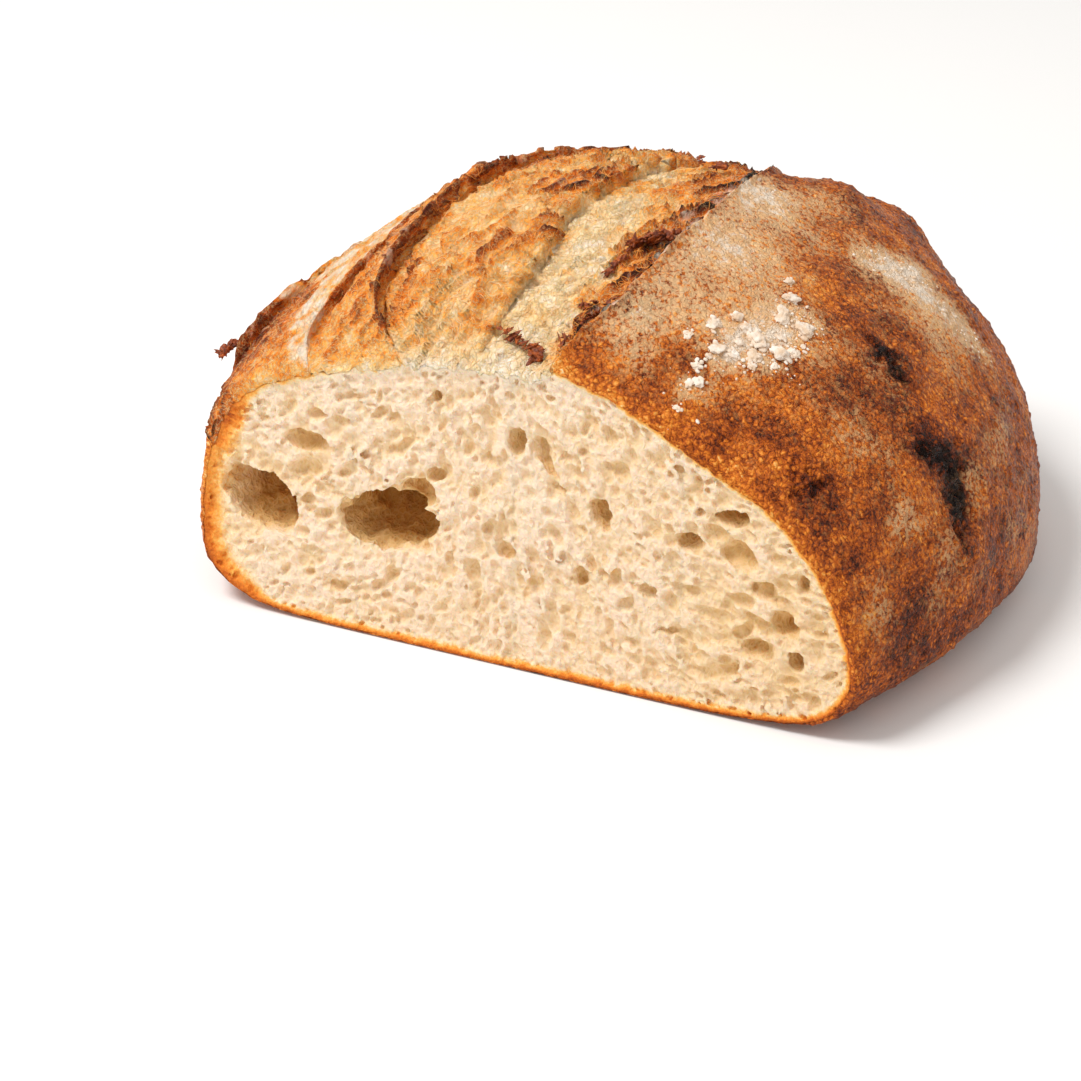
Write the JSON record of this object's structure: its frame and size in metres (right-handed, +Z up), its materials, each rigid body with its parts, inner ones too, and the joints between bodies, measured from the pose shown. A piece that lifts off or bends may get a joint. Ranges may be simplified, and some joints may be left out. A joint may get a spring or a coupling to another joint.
{
  "type": "sourdough loaf",
  "caption": "Round rustic sourdough loaf with a flat base, a flat cut face of open crumb, and a slashed top that opened into torn bands under lifted crust.",
  "frame": {"origin": "on the table, under the middle of the loaf's bounding box", "axes": "+X across the cut face, the longest side; +Y from the cut face back into the loaf; +Z up, the shortest side"},
  "size_m": [0.2348, 0.202, 0.1118],
  "materials": {
    "crust": "baked brown crust, matt, blistered and dusted with flour",
    "crumb": "soft cream crumb, matt and full of bubbles",
    "flour": "matt white flour"
  },
  "bodies": {
    "root": {"loaf": "crust"}
  },
  "joints": []
}
